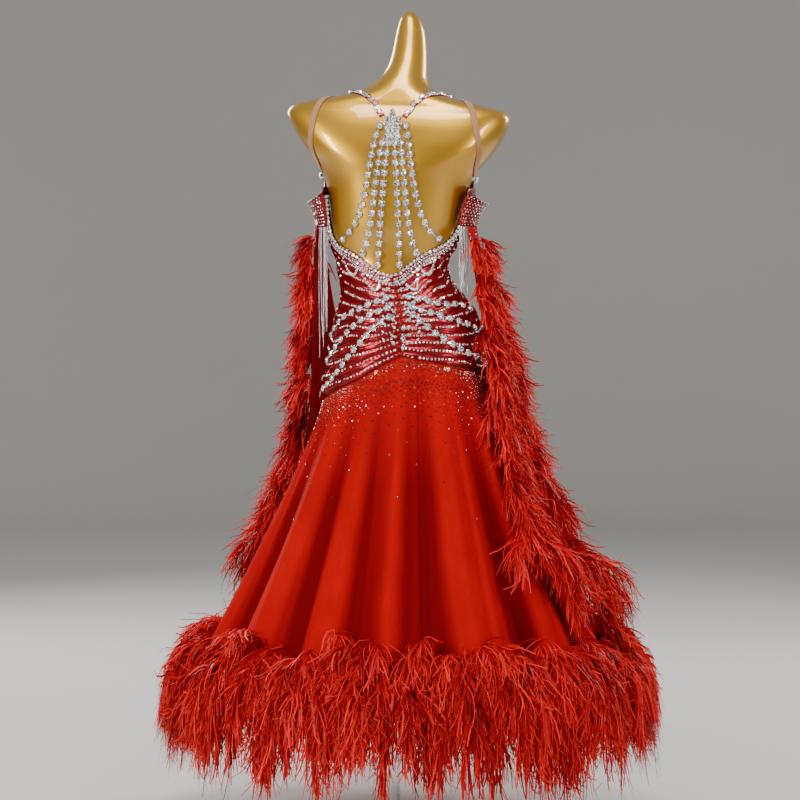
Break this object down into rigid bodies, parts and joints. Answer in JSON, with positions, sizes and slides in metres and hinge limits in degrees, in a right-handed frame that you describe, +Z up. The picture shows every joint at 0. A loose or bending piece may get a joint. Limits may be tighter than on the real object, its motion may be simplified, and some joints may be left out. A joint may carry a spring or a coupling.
{
  "type": "ballroom dance dress on a dress form",
  "caption": "Backless ballroom dance dress with crystal chains, ruched bodice, full chiffon skirt and feather hem, on a gold form.",
  "frame": {"origin": "centre of the stand base's underside, on the floor under the dress form", "axes": "+Z up along the pole, -Y the wearer's back, +X the wearer's right hand side"},
  "size_m": [1.0058, 0.9894, 1.6392],
  "materials": {
    "gold": "glossy gold lacquer",
    "chrome": "polished",
    "satin": "stretch satin, soft sheen",
    "chiffon": "matte chiffon",
    "feather": "ostrich feather, soft",
    "crystal": "faceted, mirror-backed",
    "elastic": "ribbed elastic"
  },
  "bodies": {
    "root": {"form_torso": "gold", "stand_pole": "chrome", "stand_base": "chrome", "bodice_back_left": "satin", "bodice_back_right": "satin", "bodice_front": "satin", "armband_left": "satin", "armband_right": "satin", "stoned_strap_left": "satin", "stoned_strap_right": "satin", "skirt_gore_right": "chiffon", "skirt_gore_front_right": "chiffon", "skirt_gore_front_left": "chiffon", "skirt_gore_left": "chiffon", "float_left": "chiffon", "float_right": "chiffon", "hem_feather_band": "feather", "float_feathers_left": "feather", "float_feathers_right": "feather", "nape_ornament": "crystal", "bead_fringe_left": "crystal", "bead_fringe_right": "crystal", "back_chain_left_1": "crystal", "back_chain_left_2": "crystal", "back_chain_left_3": "crystal", "back_chain_right_1": "crystal", "back_chain_right_2": "crystal", "back_chain_right_3": "crystal", "crystal_swag_left_1": "crystal", "crystal_swag_left_2": "crystal", "crystal_swag_left_3": "crystal", "crystal_swag_right_1": "crystal", "crystal_swag_right_2": "crystal", "crystal_swag_right_3": "crystal", "elastic_strap_left": "elastic", "elastic_strap_right": "elastic"}
  },
  "joints": []
}
